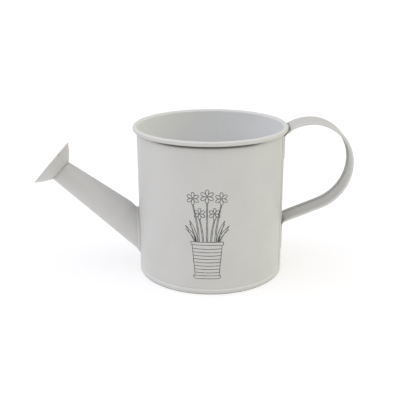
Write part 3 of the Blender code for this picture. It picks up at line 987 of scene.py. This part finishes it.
def drawn_wire():
    """Grey steel wire with fine draw lines and a few dull patches."""
    f = Finish("drawn_wire")
    patch = f.ramp(f.noise(160.0, 4.0, 0.6), 0.38, 0.66)
    lines = f.noise(900.0, 3.0, 0.6, stretch=(1.0, 1.0, 6.0))
    return f.finish(Base_Color=f.blend(patch, WIRE_LIGHT, WIRE_DARK),
                    Roughness=f.ramp(patch, 0.0, 1.0, 0.32, 0.55),
                    Normal=f.bump(lines, 0.4, 0.00002), Metallic=0.9)


def pale_floor():
    f = Finish("pale_floor")
    tone = f.ramp(f.noise(1.2, 2.0), 0.3, 0.7)
    return f.finish(Base_Color=f.blend(tone, FLOOR_LIGHT, FLOOR_DARK), Roughness=0.8,
                    Specular_IOR_Level=0.2, Emission_Color=GLOW, Emission_Strength=FLOOR_GLOW)


def white_backdrop():
    return Finish("backdrop_white").finish(
        Base_Color=BACKDROP_GREY, Specular_IOR_Level=0.0, Emission_Color=GLOW,
        Emission_Strength=BACKDROP_GLOW)


# ---- Camera, floor and light -------------------------------------------------------------

CAMERA_AT = Vector((CAN_X, -0.5761, 0.2557))
CAMERA_YAW = -0.016
CAMERA_DOWN = 0.3256
CAMERA_ROLL = -0.0045
CAMERA_LENS = 62.21
CAMERA_SENSOR = 36.0
CAMERA_REACH = (0.01, 100.0)  # nearest and farthest it sees
FLOOR_SIZE = 40.0
DOME_RADIUS = 12.0

# Broad soft lights far away, added up in the world. Each has its azimuth from +X and elevation
# in degrees, a power (higher is narrower) and a colour.
LOBES = (
    (0.0, 8.0, 4.0, (0.94, 0.98, 0.63)),
    (45.0, 8.0, 4.0, (0.38, 0.38, 0.36)),
    (90.0, 8.0, 4.0, (0.26, 0.28, 0.21)),
    (135.0, 8.0, 4.0, (0.45, 0.46, 0.42)),
    (180.0, 8.0, 4.0, (0.35, 0.36, 0.38)),
    (0.0, 42.0, 6.0, (0.69, 0.64, 0.58)),
    (45.0, 42.0, 6.0, (0.00, 0.00, 0.06)),
    (135.0, 42.0, 6.0, (0.31, 0.27, 0.34)),
    (180.0, 42.0, 6.0, (0.86, 0.81, 0.89)),
    (225.0, 42.0, 6.0, (0.73, 0.76, 0.75)),
    (270.0, 42.0, 6.0, (0.34, 0.35, 0.38)),
    (315.0, 42.0, 6.0, (0.49, 0.45, 0.41)),
    (0.0, 90.0, 6.0, (0.87, 0.86, 1.02)),
)


def set_camera():
    ahead = Vector((sin(CAMERA_YAW) * cos(CAMERA_DOWN), cos(CAMERA_YAW) * cos(CAMERA_DOWN),
                    -sin(CAMERA_DOWN)))
    right = Vector((cos(CAMERA_YAW), -sin(CAMERA_YAW), 0.0))
    up = right.cross(ahead)
    tilt_right = cos(CAMERA_ROLL) * right + sin(CAMERA_ROLL) * up
    tilt_up = -sin(CAMERA_ROLL) * right + cos(CAMERA_ROLL) * up
    data = bpy.data.cameras.new("camera")
    data.lens = CAMERA_LENS
    data.sensor_width = CAMERA_SENSOR
    data.clip_start, data.clip_end = CAMERA_REACH
    camera = placed("camera", data)
    turned = Matrix((tilt_right, tilt_up, -ahead)).transposed().to_4x4()
    camera.matrix_world = Matrix.Translation(CAMERA_AT) @ turned
    bpy.context.scene.camera = camera


def set_floor():
    half = FLOOR_SIZE / 2
    mesh = bpy.data.meshes.new("floor")
    corners = [(-half, -half, 0), (half, -half, 0), (half, half, 0), (-half, half, 0)]
    mesh.from_pydata(corners, [], [(0, 1, 2, 3)])
    mesh.materials.append(pale_floor())
    floor = placed("floor", mesh)


def set_backdrop():
    """A plain white dome that hides the floor's end and the lights from every view.

    Only the camera sees it: it takes no light away and adds none.
    """
    rows = [[(radius * cos(a), radius * sin(a), z) for a in circle(96)]
            for radius, z in arc((0.0, 0.0), DOME_RADIUS, -2, 88, 24)]
    dome = placed("backdrop", grid_mesh("backdrop", rows))
    dome.data.materials.append(white_backdrop())
    for part in ("diffuse", "glossy", "transmission", "shadow", "volume_scatter"):
        setattr(dome, "visible_" + part, False)


def set_light():
    """Soft studio light from all round: a sum of broad lobes in the world's background."""
    world = bpy.data.worlds.new("studio")
    world.use_nodes = True
    tree = world.node_tree
    direction = tree.nodes.new("ShaderNodeTexCoord").outputs["Generated"]
    total = None
    for azimuth, elevation, power, colour in LOBES:
        turn, rise = radians(azimuth), radians(elevation)
        nodes = [tree.nodes.new("ShaderNodeVectorMath"), tree.nodes.new("ShaderNodeMath"),
                 tree.nodes.new("ShaderNodeMath"), tree.nodes.new("ShaderNodeVectorMath")]
        for node, operation in zip(nodes, ("DOT_PRODUCT", "MAXIMUM", "POWER", "SCALE")):
            node.operation = operation
        facing, ahead, lobe, tint = nodes
        facing.inputs[1].default_value = (cos(turn) * cos(rise), sin(turn) * cos(rise), sin(rise))
        ahead.inputs[1].default_value = 0.0
        lobe.inputs[1].default_value = power
        tint.inputs[0].default_value = colour
        tree.links.new(direction, facing.inputs[0])
        tree.links.new(facing.outputs["Value"], ahead.inputs[0])
        tree.links.new(ahead.outputs["Value"], lobe.inputs[0])
        tree.links.new(lobe.outputs["Value"], tint.inputs["Scale"])
        if total:
            node = tree.nodes.new("ShaderNodeVectorMath")
            node.operation = "ADD"
            tree.links.new(total, node.inputs[0])
            tree.links.new(tint.outputs["Vector"], node.inputs[1])
            total = node.outputs["Vector"]
        else:
            total = tint.outputs["Vector"]
    tree.links.new(total, tree.nodes["Background"].inputs["Color"])
    bpy.context.scene.world = world
    bpy.context.scene.view_settings.view_transform = "Standard"
    bpy.context.scene.view_settings.look = "None"


# ---- The can -----------------------------------------------------------------------------

set_camera()
set_floor()
set_backdrop()
set_light()

PIECES = (   # maker, its wear, dust, painted shade and painted highlight, finish, the record's slot, the CAD nodes it stands for
    (wall_sheet, wall_fields, enamel("enamel_can"), "paint_can", "can_wall"),
    (floor_disc, floor_fields, enamel("enamel_floor", dust_share=1.6), "paint_can", "base_disc"),
    (spout_shell, spout_fields, enamel("enamel_spout"), "paint_spout", "spout_tube"),
    (spout_saddle, saddle_fields, enamel("enamel_saddle"), "paint_spout", "spout_collar"),
    (rose_funnel, rose_fields, enamel("enamel_funnel"), "paint_rose", "rose_cone"),
    (rose_face, rose_fields, enamel("enamel_face"), "paint_rose", "rose_faceplate"),
    (handle_band, strap_fields, enamel("enamel_handle"), "paint_handle", "handle_strap"),
    (printed_motif, clean_fields, ink(), None, None),
)
for maker, fields, finish, slot_name, node in PIECES:
    piece = maker()
    piece.data.materials.clear()
    piece.data.materials.append(finish)
    settle(piece, fields, slot_name, *([node] if node else []))

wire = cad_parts["rim_wire"]
for holder in wire.material_slots:
    holder.link = "OBJECT"
    holder.material = drawn_wire()
